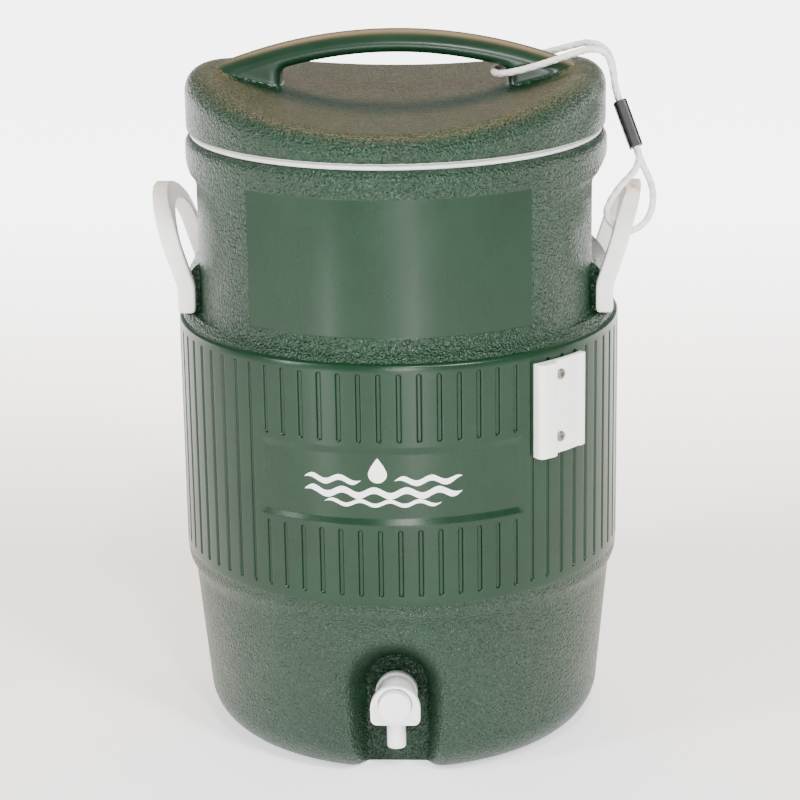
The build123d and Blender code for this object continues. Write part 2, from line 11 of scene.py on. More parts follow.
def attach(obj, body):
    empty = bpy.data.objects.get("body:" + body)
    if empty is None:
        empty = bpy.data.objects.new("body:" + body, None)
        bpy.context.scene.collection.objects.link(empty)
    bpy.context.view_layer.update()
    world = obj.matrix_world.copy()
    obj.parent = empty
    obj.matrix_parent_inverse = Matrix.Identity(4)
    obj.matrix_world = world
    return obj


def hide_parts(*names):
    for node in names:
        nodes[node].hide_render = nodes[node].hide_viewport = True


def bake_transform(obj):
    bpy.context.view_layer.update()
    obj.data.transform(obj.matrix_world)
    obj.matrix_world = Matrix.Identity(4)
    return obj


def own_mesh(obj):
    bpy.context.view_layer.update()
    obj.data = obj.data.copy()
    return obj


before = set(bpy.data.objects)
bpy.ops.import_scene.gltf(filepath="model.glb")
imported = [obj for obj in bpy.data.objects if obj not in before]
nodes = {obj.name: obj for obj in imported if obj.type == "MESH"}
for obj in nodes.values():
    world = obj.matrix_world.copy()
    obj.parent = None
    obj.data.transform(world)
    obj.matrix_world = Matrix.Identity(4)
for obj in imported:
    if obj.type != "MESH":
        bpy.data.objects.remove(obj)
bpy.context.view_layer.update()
MM = 0.001


# ---- camera -------------------------------------------------------------------------
def make_camera():
    data = bpy.data.cameras.new("camera")
    data.lens = 117.35
    data.sensor_width = 36
    camera = bpy.data.objects.new("camera", data)
    bpy.context.scene.collection.objects.link(camera)
    heading = Matrix.Rotation(math.radians(2.84), 4, "Z")
    tilt = Matrix.Rotation(math.radians(90 - 16.99), 4, "X")
    roll = Matrix.Rotation(-0.0154, 4, "Z")
    camera.matrix_world = Matrix.Translation((0.08716, -1.75706, 0.7665)) @ heading @ tilt @ roll
    bpy.context.scene.camera = camera


make_camera()


# ---- node helpers -------------------------------------------------------------------
def linear(colour):
    """Linear colour with alpha from three 0-255 display values."""
    scaled = [c / 255 for c in colour]
    return [c / 12.92 if c < 0.04045 else ((c + 0.055) / 1.055) ** 2.4 for c in scaled] + [1]


class Finish:
    """A material with one Principled shader and the few node chains that the jug needs."""

    def __init__(self, name, **sockets):
        self.material = bpy.data.materials.new(name)
        self.material.use_nodes = True
        self.tree = self.material.node_tree
        self.shader = self.tree.nodes["Principled BSDF"]
        self.coords = self.tree.nodes.new("ShaderNodeTexCoord").outputs["Object"]
        self.height = None
        for socket, value in sockets.items():
            self.shader.inputs[socket.replace("_", " ")].default_value = value

    def node(self, kind, inputs=(), **settings):
        made = self.tree.nodes.new("ShaderNode" + kind)
        for setting, value in settings.items():
            setattr(made, setting, value)
        for socket, value in dict(inputs).items():
            if isinstance(value, bpy.types.NodeSocket):
                self.tree.links.new(value, made.inputs[socket])
            else:
                made.inputs[socket].default_value = value
        return made

    def stretched(self, x, y, z):
        return self.node("Mapping", {"Vector": self.coords, "Scale": (x, y, z)}).outputs["Vector"]

    def noise(self, scale, detail=3, roughness=0.5, vector=None):
        where = vector or self.coords
        return self.node("TexNoise", {"Vector": where, "Scale": scale, "Detail": detail,
                                      "Roughness": roughness}).outputs["Fac"]

    def remap(self, value, low, high, to_low=0.0, to_high=1.0):
        return self.node("MapRange", {"Value": value, "From Min": low, "From Max": high,
                                      "To Min": to_low, "To Max": to_high}).outputs["Result"]

    def maths(self, operation, first, second):
        return self.node("Math", {0: first, 1: second}, operation=operation).outputs[0]

    def colour(self, factor, first, second):
        """Base colour that runs between two display colours."""
        mix = self.node("Mix", {"Factor": factor}, data_type="RGBA")
        for socket in mix.inputs:
            if socket.type == "RGBA":
                socket.default_value = linear(first if socket.name == "A" else second)
        output = [s for s in mix.outputs if s.type == "RGBA"][0]
        self.tree.links.new(output, self.shader.inputs["Base Color"])

    def rough(self, factor, low, high):
        self.tree.links.new(self.remap(factor, 0, 1, low, high), self.shader.inputs["Roughness"])

    def parting_line(self):
        """Height of the thin ridge that the mould leaves in the plane y = 0."""
        split = self.node("SeparateXYZ", {"Vector": self.coords}).outputs["Y"]
        return self.remap(self.maths("ABSOLUTE", split, 0.0), 0.0, 0.0007, 1.0, 0.0)

    def bump(self, height, distance, strength=1.0):
        """Adds one more layer of relief, distance in metres."""
        inputs = {"Height": height, "Distance": distance, "Strength": strength}
        if self.height is not None:
            inputs["Normal"] = self.height
        self.height = self.node("Bump", inputs).outputs["Normal"]
        self.tree.links.new(self.height, self.shader.inputs["Normal"])


def green_grained():
    """Leather-grained polyethylene: pebbles between fine creases."""
    finish = Finish("green_grained", Specular_IOR_Level=0.45)
    warp = finish.node("TexNoise", {"Vector": finish.coords, "Scale": 340, "Detail": 2}).outputs["Color"]
    shift = finish.node("VectorMath", {0: warp, 1: (0.002, 0.002, 0.002)}, operation="MULTIPLY").outputs[0]
    moved = finish.node("VectorMath", {0: finish.coords, 1: shift}, operation="ADD").outputs[0]
    cells = finish.node("TexVoronoi", {"Vector": moved, "Scale": 600, "Smoothness": 0.25},
                        feature="SMOOTH_F1").outputs["Distance"]
    creases = finish.node("TexVoronoi", {"Vector": moved, "Scale": 290}, feature="DISTANCE_TO_EDGE")
    folds = finish.remap(creases.outputs["Distance"], 0.0, 0.25)
    relief = finish.maths("SUBTRACT", finish.maths("MULTIPLY", folds, 0.6), cells)
    finish.bump(relief, 0.001, 1.0)
    finish.bump(finish.parting_line(), 0.0005, 0.8)
    wear = finish.noise(14, 4, 0.6)
    finish.colour(finish.remap(wear, 0.3, 0.7), (1, 37, 15), (3, 44, 20))
    finish.rough(finish.noise(45, 3), 0.26, 0.42)
    return finish.material


def green_smooth():
    """The same plastic where the mould is smooth, with faint draw marks and rub stains."""
    finish = Finish("green_smooth", Specular_IOR_Level=0.35)
    streaks = finish.noise(120, 3, 0.6, finish.stretched(1, 1, 0.04))
    blotches = finish.noise(22, 5, 0.65)
    finish.colour(finish.remap(blotches, 0.35, 0.7), (1, 36, 14), (4, 43, 20))
    more_streaks = finish.maths("MULTIPLY", streaks, 0.6)
    fewer_blotches = finish.maths("MULTIPLY", blotches, 0.4)
    both = finish.maths("ADD", more_streaks, fewer_blotches)
    finish.rough(both, 0.2, 0.36)
    finish.bump(streaks, 0.00006, 0.3)
    finish.bump(finish.noise(900, 2), 0.00002, 0.35)
    return finish.material


def green_handle():
    """The plain, slightly glossy plastic of the lid's handle."""
    finish = Finish("green_handle", Specular_IOR_Level=0.5)
    scuffs = finish.noise(60, 5, 0.65, finish.stretched(0.3, 1, 1))
    finish.colour(finish.remap(scuffs, 0.35, 0.7), (3, 37, 17), (6, 45, 23))
    finish.rough(scuffs, 0.24, 0.42)
    finish.bump(finish.parting_line(), 0.0004, 0.7)
    finish.bump(finish.noise(700, 2), 0.00003, 0.4)
    return finish.material


def moulded(name, slot_colours, roughness, scale=60, relief=0.00003):
    """Plain moulded plastic or rubber with a slightly uneven skin."""
    finish = Finish(name)
    unevenness = finish.noise(scale, 4, 0.6)
    finish.colour(finish.remap(unevenness, 0.3, 0.72), *slot_colours)
    finish.rough(unevenness, roughness, roughness + 0.14)
    finish.bump(finish.noise(700, 2), relief, 0.5)
    return finish.material


def brushed_steel():
    finish = Finish("steel", Metallic=1.0)
    turning = finish.noise(400, 3, 0.6, finish.stretched(1, 1, 0.2))
    finish.colour(turning, (112, 106, 100), (158, 152, 144))
    finish.rough(turning, 0.25, 0.45)
    finish.bump(turning, 0.00002, 0.4)
    return finish.material


def cord_finish():
    """White nylon braid with fine filaments and a little dirt."""
    finish = Finish("cord", Sheen_Weight=0.25)
    finish.shader.inputs["Subsurface Weight"].default_value = 0.1
    finish.shader.inputs["Subsurface Scale"].default_value = 0.001
    filaments = finish.noise(2600, 2, 0.6)
    dirt = finish.noise(140, 4, 0.6)
    finish.colour(finish.remap(dirt, 0.25, 0.7), (214, 211, 203), (240, 239, 235))
    finish.rough(filaments, 0.55, 0.8)
    finish.bump(filaments, 0.00012, 0.7)
    return finish.material


finishes = {
    "grained": green_grained(),
    "smooth": green_smooth(),
    "handle": green_handle(),
    "white": moulded("white_plastic", ((238, 237, 234), (248, 247, 245)), 0.3),
    "bail_white": moulded("bail_white", ((232, 229, 225), (244, 242, 239)), 0.34),
    "spigot": moulded("spigot_white", ((240, 240, 238), (250, 250, 249)), 0.24),
    "liner": moulded("white_liner", ((216, 217, 214), (230, 231, 229)), 0.36),
    "black": moulded("black_plastic", ((14, 14, 15), (26, 26, 27)), 0.34, 220, 0.00008),
    "rubber": moulded("rubber", ((26, 26, 26), (40, 40, 40)), 0.6),
    "foam": moulded("foam", ((216, 190, 126), (233, 210, 150)), 0.75, 180, 0.0003),
    "print": moulded("print_white", ((240, 241, 239), (250, 250, 249)), 0.4, 90),
    "steel": brushed_steel(),
    "cord": cord_finish(),
}


# ---- mesh helpers -------------------------------------------------------------------
def add_mesh(name, points, faces, finish):
    mesh = bpy.data.meshes.new(name)
    mesh.from_pydata([tuple(p) for p in points], [], faces)
    piece = bpy.data.objects.new(name, mesh)
    bpy.context.scene.collection.objects.link(piece)
    for kind in [finish] if isinstance(finish, str) else finish:
        mesh.materials.append(finishes[kind])
    return piece


def finished(piece, body, replaced=(), sharp=50):
    """Smooth shading, the body that the piece rides on, and the CAD nodes that it stands for."""
    piece.data.polygons.foreach_set("use_smooth", [True] * len(piece.data.polygons))
    piece.data.set_sharp_from_angle(angle=math.radians(sharp))
    piece.data.update()
    if body:
        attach(piece, body)
    if replaced:
        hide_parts(*replaced)
    return piece


def smooth_min(a, b, width):
    share = np.clip(0.5 + 0.5 * (b - a) / width, 0, 1)
    return b * (1 - share) + a * share - width * share * (1 - share)


def smooth_max(a, b, width):
    return -smooth_min(-a, -b, width)


def smooth_step(low, high, value):
    share = np.clip((value - low) / (high - low), 0, 1)
    return share * share * (3 - 2 * share)


def place(radius, turn, height):
    """Point in metres at an angle in radians round from the front (-Y) towards +X."""
    return (radius * math.sin(turn) * MM, -radius * math.cos(turn) * MM, height * MM)


def softened(name, node, voxel, passes, finish, body):
    """Piece with the CAD node's form and rounded edges."""
    mesh = nodes[node].data.copy()
    mesh.materials.clear()
    piece = bpy.data.objects.new(name, mesh)
    bpy.context.scene.collection.objects.link(piece)
    weld = piece.modifiers.new("weld", "WELD")
    weld.merge_threshold = 0.00001
    remesh = piece.modifiers.new("remesh", "REMESH")
    remesh.mode = "VOXEL"
    remesh.voxel_size = voxel * MM
    smooth = piece.modifiers.new("smooth", "SMOOTH")
    smooth.factor = 0.5
    smooth.iterations = passes
    evaluated = piece.evaluated_get(bpy.context.evaluated_depsgraph_get())
    piece.modifiers.clear()
    piece.data = bpy.data.meshes.new_from_object(evaluated)
    piece.data.name = name
    piece.data.materials.clear()
    piece.data.materials.append(finishes[finish])
    return finished(piece, body, [node], sharp=180)


# ---- tether cords -------------------------------------------------------------------
UPPER_ROUTE = [
    (152.0, -14.13, 443.95), (148.98, -11.25, 451.92), (147.3, -9.5, 463.5), (144.0, -9.5, 475.5),
    (133.0, -12.0, 479.5), (118.0, -16.0, 475.5), (101.0, -20.5, 470.5), (85.0, -23.5, 466.5),
    (72.5, -19.5, 463.5), (67.0, -7.5, 462.5), (67.3, 6.5, 462.6), (73.0, 18.0, 463.8),
    (85.5, 22.8, 466.8), (102.0, 21.8, 471.0), (119.0, 18.0, 476.0), (132.5, 12.5, 480.0),
    (143.8, 5.0, 476.0), (148.0, -1.2, 465.0), (148.81, -5.82, 450.46), (152.0, -8.87, 442.05),
]
LOWER_ROUTE = [
    (163.0, -24.63, 414.95), (165.7, -27.2, 407.9), (162.0, -28.6, 398.6), (153.8, -30.0, 390.6),
    (146.8, -31.6, 381.5), (141.5, -31.9, 370.0), (151.6, -31.5, 356.8), (163.4, -33.4, 359.2),
    (171.4, -32.0, 366.6), (174.8, -30.4, 377.5), (173.8, -28.0, 389.5), (167.4, -23.5, 401.5),
    (163.0, -19.37, 413.05),
]
CORD_RADIUS = 2.4


def cord_line(name, route):
    """Points in metres along the smooth line that a route's points steer."""
    curve = bpy.data.curves.new(name, "CURVE")
    curve.dimensions = "3D"
    spline = curve.splines.new("NURBS")
    spline.points.add(len(route) - 1)
    for point, position in zip(spline.points, route):
        point.co = (*(Vector(position) * MM), 1)
    spline.order_u = 3
    spline.use_endpoint_u = True
    spline.resolution_u = 24
    holder = bpy.data.objects.new(name, curve)
    mesh = bpy.data.meshes.new_from_object(holder)
    line = np.array([v.co[:] for v in mesh.vertices])
    bpy.data.objects.remove(holder)
    bpy.data.curves.remove(curve)
    bpy.data.meshes.remove(mesh)
    return line


def even_points(line, step):
    """The same line with points a fixed step apart."""
    lengths = np.concatenate([[0], np.cumsum(np.linalg.norm(np.diff(line, axis=0), axis=1))])
    along = np.linspace(0, lengths[-1], max(2, round(lengths[-1] / step)))
    return np.stack([np.interp(along, lengths, line[:, axis]) for axis in range(3)], axis=1), along


def braided_tube(name, route):
    """Round braid of four strands each way along a route."""
    line, along = even_points(cord_line(name, route), 0.00034)
    around = 44
    strands = 4
    lay = 0.0078
    heading = Vector(line[1] - line[0]).normalized()
    side = heading.orthogonal().normalized()
    points = []
    for index, centre in enumerate(line):
        ahead = line[min(index + 1, len(line) - 1)] - line[max(index - 1, 0)]
        new_heading = Vector(ahead).normalized()
        side = (heading.rotation_difference(new_heading) @ side).normalized()
        heading = new_heading
        other = heading.cross(side)
        turn = 2 * math.pi * along[index] / lay
        for step in range(around):
            angle = 2 * math.pi * step / around
            left = math.cos(strands * angle + turn)
            right = math.cos(strands * angle - turn)
            over = 0.5 + 0.5 * math.sin(strands * angle) * math.sin(turn)
            ridge = over * math.sqrt(0.5 + 0.5 * left) + (1 - over) * math.sqrt(0.5 + 0.5 * right)
            radius = CORD_RADIUS * MM * (0.83 + 0.17 * ridge)
            offset = side * math.cos(angle) + other * math.sin(angle)
            points.append(Vector(centre) + offset * radius)
    faces = []
    for ring in range(len(line) - 1):
        for step in range(around):
            following = (step + 1) % around
            start = ring * around
            faces.append((start + step, start + following, start + around + following, start + around + step))
    faces.append(tuple(reversed(range(around))))
    faces.append(tuple(range(len(points) - around, len(points))))
    piece = add_mesh(name, points, faces, "cord")
    return finished(piece, None, [name], sharp=180), line


upper_cord, upper_line = braided_tube("tether_upper", UPPER_ROUTE)
lower_cord, lower_line = braided_tube("tether_lower", LOWER_ROUTE)
clamp = softened("tether_clamp", "tether_clamp", 0.4, 4, "black", "jug")
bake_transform(upper_cord)
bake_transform(lower_cord)


# ---- body shell ---------------------------------------------------------------------
FOOT_RADIUS = 110.4
BASE_EDGE_RADIUS = 28.8
LOWER_RADIUS = 147.0
LOWER_TOP = 113.0
BAND_RADIUS = 152.5
BAND_BOTTOM = 133.2
BAND_TOP = 298.9
WALL_RADIUS = 144.0
BEAD_TOP = 423.4
NECK_RADIUS = 127.2
GROOVE_PITCH = 5.0
GROOVE_HALF = 1.7
GROOVE_DEPTH = 1.7
GROOVE_BOTTOM = 139.3
GROOVE_TOP = 292.5
PLATE_TURN = 35.0
PLATE_BOTTOM = 189.4
PLATE_TOP = 242.6
PLATE_BEVEL = 4.5
PLATE_DEPTH = 1.2
PLATE_GAP = 3.5
LABEL_TURN = 40.0
LABEL_BOTTOM = 313.4
LABEL_TOP = 405.0
SIDE_ARC_RADIUS = 169.2
SIDE_ARC_OFFSET = 30.6
SIDE_FLAT = 133.0
POCKET_FLOOR = 305.2
POCKET_ROOF = 397.0
POCKET_FLOOR_ROUND = 4.0
POCKET_ROOF_ROUND = 8.0
BOSS_HALF = 43.5
BOSS_REACH = 149.5
BOSS_LOW = 303.4
BOSS_TOP = 342
NICHE_WALL = 104.0
NICHE_TURN = 20.0
NICHE_PATCH_TOP = 124.0
NICHE_LIP = 9.0
NICHE_BACK_HALF = 21.0
NICHE_BACK_SPRINGING = 58.0
NICHE_MOUTH = 155.0             # distance from the axis at which the arch has widened fully
NICHE_WIDENING = 16.5
NICHE_RISE = 15.0


def bend(start, end, leave, arrive, count):
    """Points of a smooth run between two (radius, height) points, with its end directions."""
    points = []
    for step in range(1, count + 1):
        t = step / count
        a = 2 * t**3 - 3 * t**2 + 1
        b = t**3 - 2 * t**2 + t
        c = 3 * t**2 - 2 * t**3
        d = t**3 - t**2
        points.append(tuple(a * start[k] + b * leave[k] + c * end[k] + d * arrive[k] for k in (0, 1)))
    return points


def wall_profile():
    """(radius, height) up the outside from the foot ring to the top of the bead."""
    slope = (LOWER_RADIUS - FOOT_RADIUS - BASE_EDGE_RADIUS) / (LOWER_TOP - BASE_EDGE_RADIUS)
    sweep = math.pi / 2 - math.atan(slope)
    points = [(FOOT_RADIUS, 0.0)]
    for step in range(1, 17):
        angle = sweep * step / 16
        points.append((FOOT_RADIUS + BASE_EDGE_RADIUS * math.sin(angle),
                       BASE_EDGE_RADIUS * (1 - math.cos(angle))))
    lower = (LOWER_RADIUS, LOWER_TOP)
    grained = (BAND_RADIUS - 0.5, LOWER_TOP + 15)
    crest = (BAND_RADIUS, BAND_TOP - 2.5)
    crease = (BAND_RADIUS - 2.6, BAND_TOP + 0.2)
    shoulder = (147.0, 303.5)
    wall = (WALL_RADIUS, 312.0)
    points.append(lower)
    points += bend(lower, grained, (15 * slope, 15), (0, 15), 8)
    points += [(BAND_RADIUS - 0.5, BAND_BOTTOM - 0.4), (BAND_RADIUS - 0.1, BAND_BOTTOM + 0.1),
               (BAND_RADIUS, BAND_BOTTOM + 0.8), crest]
    points += bend(crest, crease, (0, 3.6), (-3.0, 0.8), 7)
    points += bend(crease, shoulder, (-0.6, 4), (-3, 2.6), 6)
    points += bend(shoulder, wall, (-3, 3.4), (0, 8), 7)
    points.append((WALL_RADIUS, BEAD_TOP - 6))
    for step in range(1, 9):
        angle = math.pi / 2 * step / 8
        points.append((WALL_RADIUS - 6 + 6 * math.cos(angle), BEAD_TOP - 6 + 6 * math.sin(angle)))
    return np.array(points)


profile = wall_profile()
lengths = np.concatenate([[0], np.cumsum(np.linalg.norm(np.diff(profile, axis=0), axis=1))])


def row_heights():
    """Heights of the mesh rows, close together where the surface bends."""
    heights = list(profile[:17, 1]) + list(np.arange(34, LOWER_TOP, 7)) + list(profile[17:29, 1])
    heights += [NICHE_PATCH_TOP, BAND_BOTTOM - 0.1, BAND_BOTTOM + 0.4, 136.5, 148, 158, 168, 178]
    for end in (GROOVE_BOTTOM, PLATE_BOTTOM - PLATE_GAP - 3.4, PLATE_TOP + PLATE_GAP, GROOVE_TOP - 3.4):
        heights += list(np.arange(end - 0.8, end + 4.3, 0.4))
    for edge in (PLATE_BOTTOM, PLATE_BOTTOM + PLATE_BEVEL, PLATE_TOP - PLATE_BEVEL, PLATE_TOP):
        heights += [edge - 0.7, edge - 0.25, edge + 0.25, edge + 0.7]
    heights += [191.6, 200, 208, 216, 224, 232, 240.4, 255, 262, 270, 278, 285]
    heights += list(profile[30:, 1]) + [304.6, 305.0, 305.3, 305.6, 306.2, 307, 308, 309.2, 310.6]
    heights += list(np.arange(314.5, 342, 1.5)) + [346, 352, 360, 368, 376, 382]
    heights += list(np.arange(385, 411, 1.5))
    for edge in (LABEL_BOTTOM, LABEL_TOP):
        heights += [edge - 0.3, edge + 0.3]
    heights = sorted(heights)
    kept = [heights[0]]
    for height in heights[1:]:
        if height - kept[-1] > 0.08:
            kept.append(float(height))
    return kept


def column_turns():
    """Angles in degrees of the mesh columns, close together at grooves and edges."""
    across = (-1.4, -0.92, -0.74, -0.6, -0.5, -0.38, -0.22, 0, 0.22, 0.38, 0.5, 0.6, 0.74, 0.92, 1.4, 2.5)
    turns = [groove * GROOVE_PITCH - 177.5 + step for groove in range(72) for step in across]
    for edge in (PLATE_TURN, LABEL_TURN):
        for side in (-1, 1):
            turns += [side * edge - 0.22, side * edge + 0.22]
    return sorted(turns)


def groove_share(turn, height):
    """1 at the floor of a groove, 0 on the ribs."""
    across = (np.mod(turn, GROOVE_PITCH) - GROOVE_PITCH / 2) * math.radians(1) * BAND_RADIUS
    share = np.zeros(np.broadcast(turn, height).shape)
    front = np.abs(turn) < PLATE_TURN
    runs = [(GROOVE_BOTTOM, GROOVE_TOP, ~front), (GROOVE_BOTTOM, PLATE_BOTTOM - PLATE_GAP, front),
            (PLATE_TOP + PLATE_GAP, GROOVE_TOP, front)]
    for low, high, where in runs:
        centre = (low + high) / 2
        beyond = np.maximum(0, np.abs(height - centre) - (high - low) / 2 + GROOVE_HALF)
        distance = np.hypot(across, beyond)
        share = np.maximum(share, where * (1 - smooth_step(0.55, 1.12, distance / GROOVE_HALF)))
    return share


def plate_share(turn, height):
    """0 round the nameplate, 1 on its sunk face."""
    sideways = (PLATE_TURN - np.abs(turn)) * math.radians(1) * BAND_RADIUS
    inward = np.minimum(sideways, np.minimum(height - PLATE_BOTTOM, PLATE_TOP - height))
    return np.clip(inward / PLATE_BEVEL, 0, 1)


def label_share(turn, height):
    sideways = (LABEL_TURN - np.abs(turn)) * math.radians(1) * WALL_RADIUS
    inward = np.minimum(sideways, np.minimum(height - LABEL_BOTTOM, LABEL_TOP - height))
    return np.clip(inward / 0.3 + 0.5, 0, 1)


def pocket_offset(height):
    """How far the wall stands outside the flattened side's arc, by height."""
    bend_start = POCKET_ROOF - POCKET_ROOF_ROUND * math.tan(math.pi / 8)
    bend_height = POCKET_ROOF_ROUND * math.sin(math.pi / 4)
    offset = np.full(np.shape(height), 0.0)
    low = np.clip(POCKET_FLOOR + POCKET_FLOOR_ROUND - height, 0, POCKET_FLOOR_ROUND)
    offset += POCKET_FLOOR_ROUND - np.sqrt(POCKET_FLOOR_ROUND**2 - low**2)
    high = np.clip(height - bend_start, 0, bend_height)
    offset += POCKET_ROOF_ROUND - np.sqrt(POCKET_ROOF_ROUND**2 - high**2)
    offset += np.maximum(0, height - bend_start - bend_height)
    far_outside = 100.0
    return np.where(height < POCKET_FLOOR, far_outside, offset)


def wall_radius(turn, height):
    """Outside radius of the jug at an angle in degrees and a height."""
    turn, height = np.broadcast_arrays(np.asarray(turn, float), np.asarray(height, float))
    radius = np.interp(height, profile[:, 1], profile[:, 0])
    sideways = np.abs(np.sin(np.radians(turn)))
    forwards = np.maximum(np.abs(np.cos(np.radians(turn))), 0.001)
    shift = SIDE_ARC_OFFSET * sideways
    arc = -shift + np.sqrt(shift**2 + SIDE_ARC_RADIUS**2 - SIDE_ARC_OFFSET**2)
    flat = SIDE_FLAT / np.maximum(sideways, 0.001)
    radius = smooth_min(radius, np.minimum(arc, flat) + pocket_offset(height), 1.6)
    boss_face = np.interp(height, [304, 321, 327, 338, 342], [147.3, 147.3, 145.0, 135.5, 125])
    boss = smooth_min(BOSS_HALF / forwards, boss_face / np.maximum(sideways, 0.001), 1.5)
    boss = smooth_min(boss, BOSS_REACH, 1.5)
    beside_boss = (height > BOSS_LOW) & (height < BOSS_TOP) & (sideways > 0.85)
    radius = np.where(beside_boss, smooth_max(radius, boss, 0.8), radius)
    radius = radius - GROOVE_DEPTH * groove_share(turn, height)
    radius = radius - PLATE_DEPTH * plate_share(turn, height)
    return radius - 0.25 * label_share(turn, height)


def arch_point(share, depth):
    """(x, z) on the niche's arch at a share of its outline, that far in front of the axis."""
    opened = (depth - NICHE_WALL) / (NICHE_MOUTH - NICHE_WALL)
    half = NICHE_BACK_HALF + NICHE_WIDENING * opened
    springing = NICHE_BACK_SPRINGING + NICHE_RISE * opened
    leg = 0.2766  # share of the outline in one upright leg
    if share <= leg:
        return -half, springing * share / leg
    if share >= 1 - leg:
        return half, springing * (1 - share) / leg
    angle = math.pi * (1 - (share - leg) / (1 - 2 * leg))
    return half * math.cos(angle), springing + half * math.sin(angle)


def mouth_point(share):
    """Point in millimetres where the niche's side meets the wall."""
    depth = 140.0
    for _ in range(40):
        x, z = arch_point(share, depth)
        depth = math.sqrt(np.interp(z, profile[:, 1], profile[:, 0]) ** 2 - x**2)
    return Vector((x, -depth, z))


def on_wall(turn, length):
    """Point in millimetres on the plain wall, from an angle in degrees and a length up the profile."""
    radius = np.interp(length, lengths, profile[:, 0])
    height = np.interp(length, lengths, profile[:, 1])
    return Vector(place(radius, math.radians(turn), height)) / MM


def niche_patch(edge):
    """Rings of points in millimetres from the patch's edge over the rounded lip to the back wall.

    edge lists (angle, length up the profile) from the left foot, over the top, to the right foot."""
    walls = sum(1 for turn, _ in edge if turn <= -NICHE_TURN + 0.001)
    tops = len(edge) - 2 * walls
    shares = list(np.linspace(0, 0.388, walls)) + list(np.linspace(0.388, 0.612, tops + 2)[1:-1])
    shares += list(np.linspace(0.612, 1, walls))
    mouth = [mouth_point(share) for share in shares]
    flat = []
    for point in mouth:
        turn = math.degrees(math.atan2(point.x, -point.y))
        flat.append(Vector((turn, float(np.interp(point.z, profile[:, 1], lengths)))))
    rings = [[] for _ in range(21)]
    for index, point in enumerate(mouth):
        before = flat[max(index - 1, 0)]
        after = flat[min(index + 1, len(flat) - 1)]
        scale = math.radians(1) * math.hypot(point.x, point.y)
        run = Vector(((after.x - before.x) * scale, after.y - before.y)).normalized()
        outwards = Vector((-run.y, run.x))
        if index in (0, len(flat) - 1):
            outwards = Vector((-1 if index == 0 else 1, 0))
        rim_turn = flat[index].x + outwards.x * NICHE_LIP / scale
        rim_length = max(0, flat[index].y + outwards.y * NICHE_LIP)
        for step in range(6):
            share = step / 6
            turn = edge[index][0] * (1 - share) + rim_turn * share
            length = edge[index][1] * (1 - share) + rim_length * share
            rings[step].append(on_wall(turn, length))
        x, z = arch_point(shares[index], NICHE_WALL)
        back = Vector((x, -NICHE_WALL, z))
        depth = (back - point).length
        inside = point.lerp(back, min(NICHE_LIP, 0.45 * depth) / depth)
        rim = on_wall(rim_turn, rim_length)
        for step in range(6):
            t = step / 5
            rings[6 + step].append(rim * (1 - t) ** 2 + point * 2 * t * (1 - t) + inside * t**2)
        corner = point.lerp(back, 1 - min(3.0, 0.45 * depth) / depth)
        for step in range(1, 4):
            rings[11 + step].append(inside.lerp(corner, step / 4))
        middle = Vector((0, -NICHE_WALL, min(z, 50.0)))
        face = back + (middle - back).normalized() * 3.0
        face.z = face.z if z > 0 else 0.0
        for step in range(6):
            t = step / 5
            rings[15 + step].append(corner * (1 - t) ** 2 + back * 2 * t * (1 - t) + face * t**2)
    return rings


